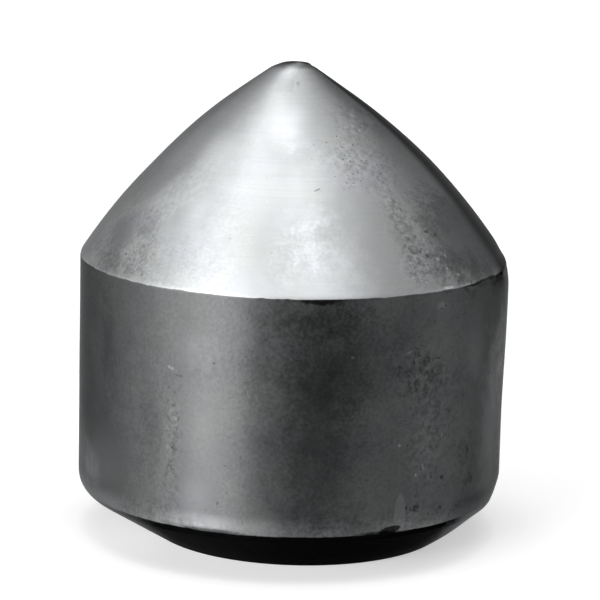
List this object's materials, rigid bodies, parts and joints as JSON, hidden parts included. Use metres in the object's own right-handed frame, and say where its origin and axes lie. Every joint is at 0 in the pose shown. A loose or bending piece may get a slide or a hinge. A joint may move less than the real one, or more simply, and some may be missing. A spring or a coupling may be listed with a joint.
{
  "type": "conical cutting pick tip",
  "caption": "Cemented-carbide tip for a conical cutting pick: pointed, slightly bulged nose on a plain cylinder, with a lead-in cone down to a flat base.",
  "frame": {"origin": "centre of the flat base", "axes": "+Z along the tip's axis, from the flat base to the point"},
  "size_m": [0.022, 0.022, 0.0245],
  "materials": {
    "carbide": "satin, as sintered and tumbled, with fine pits"
  },
  "bodies": {
    "root": {"carbide_tip": "carbide"}
  },
  "joints": []
}
